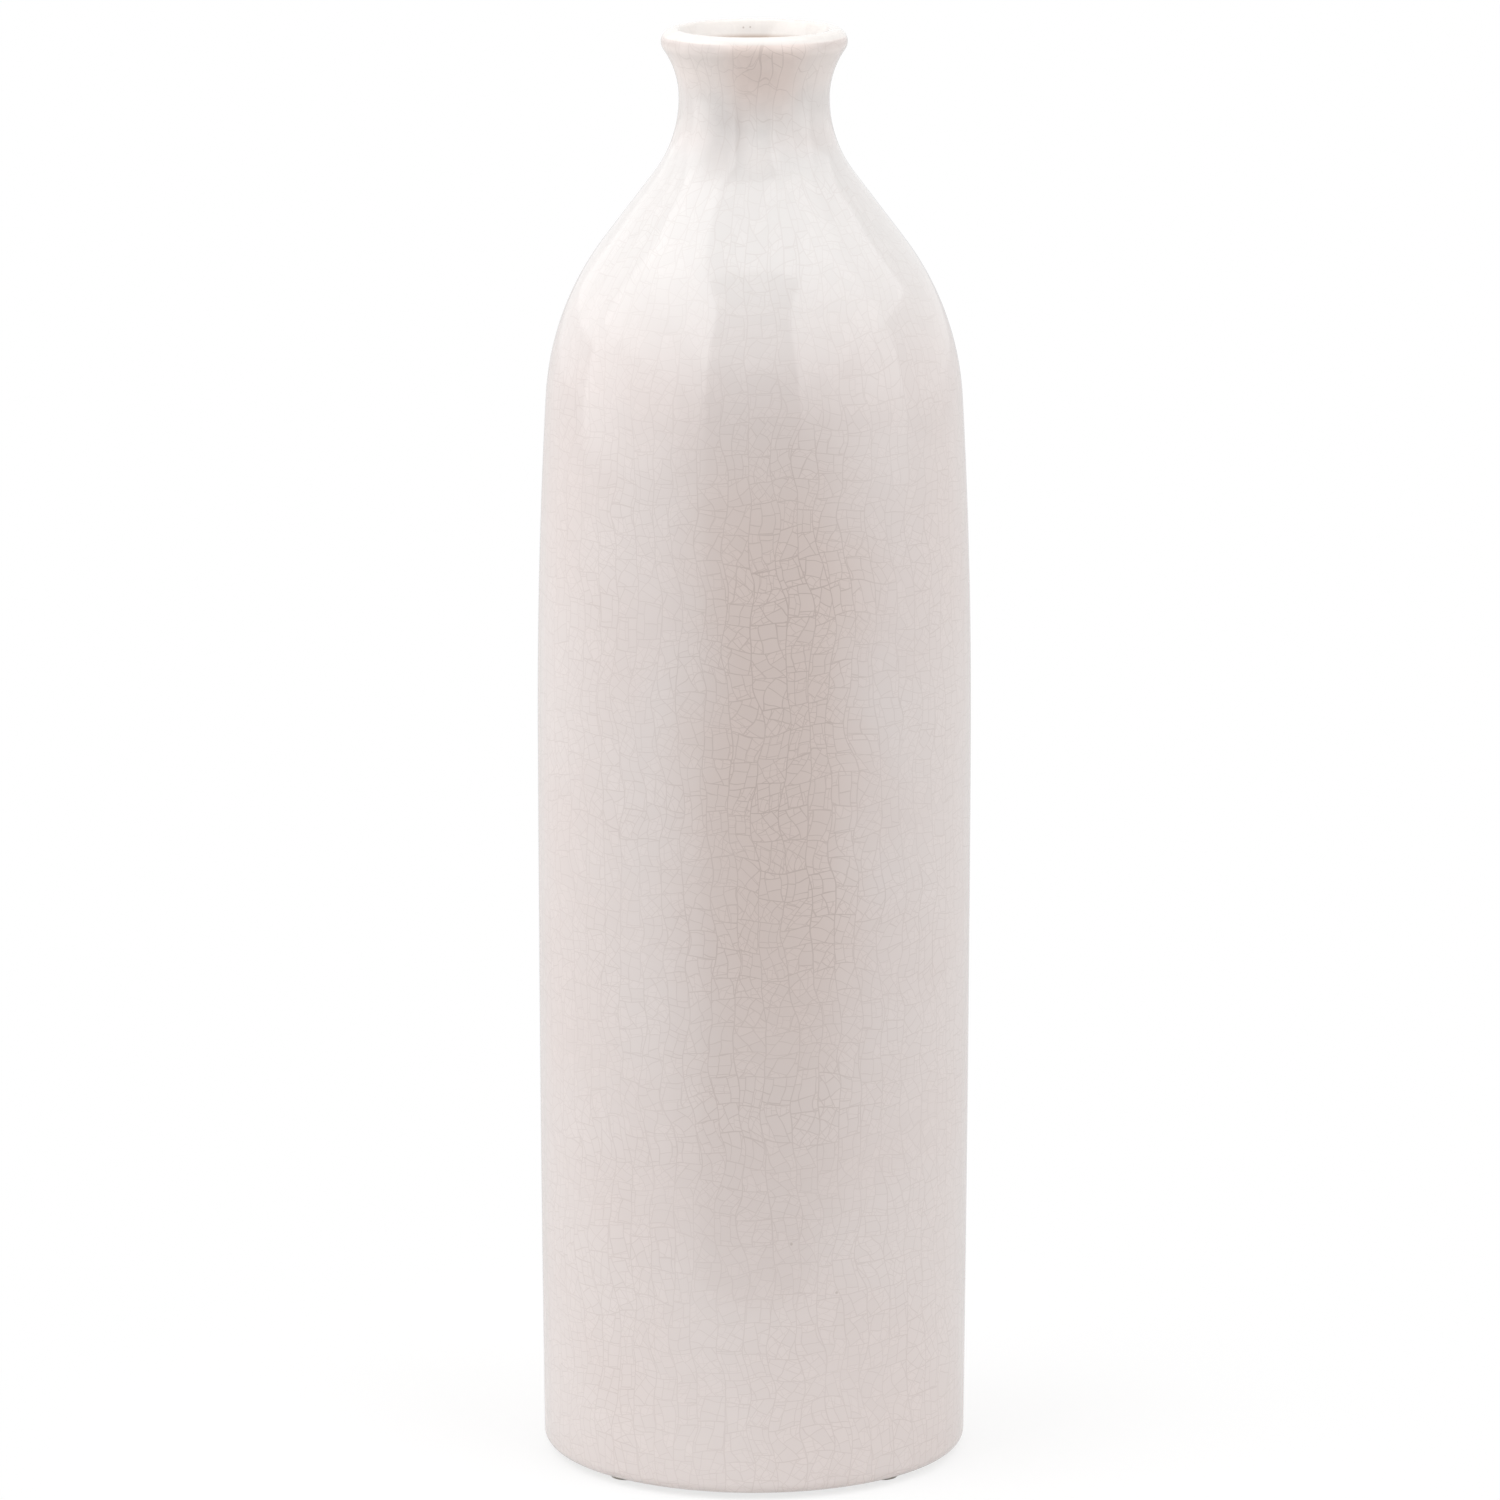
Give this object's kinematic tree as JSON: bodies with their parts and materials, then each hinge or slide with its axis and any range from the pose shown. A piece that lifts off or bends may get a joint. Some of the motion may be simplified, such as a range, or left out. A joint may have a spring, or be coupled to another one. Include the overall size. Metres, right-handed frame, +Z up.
{
  "type": "glazed bottle vase",
  "caption": "Tall glazed ceramic bottle vase with a barrel body, sloping shoulder, narrow neck and flared rounded lip; it stands on a felt-padded foot ring.",
  "frame": {"origin": "on the table, at the middle of the vase's foot, below its upright axis", "axes": "+Z up along the axis of the vase, towards the mouth; +X to the right and +Y away from the viewer"},
  "size_m": [0.1206, 0.1206, 0.4015],
  "materials": {
    "fired_clay": "dry, unglazed fired earthenware",
    "crackle_glaze": "glossy off-white glaze with fine grey-brown craze lines",
    "plain_glaze": "glossy off-white liner glaze",
    "felt": "matt pressed felt"
  },
  "bodies": {
    "root": {"clay_body": "fired_clay", "outer_crackle_glaze": "crackle_glaze", "liner_glaze": "plain_glaze", "base_glaze": "plain_glaze", "felt_pad_1": "felt", "felt_pad_2": "felt", "felt_pad_3": "felt", "felt_pad_4": "felt"}
  },
  "joints": []
}
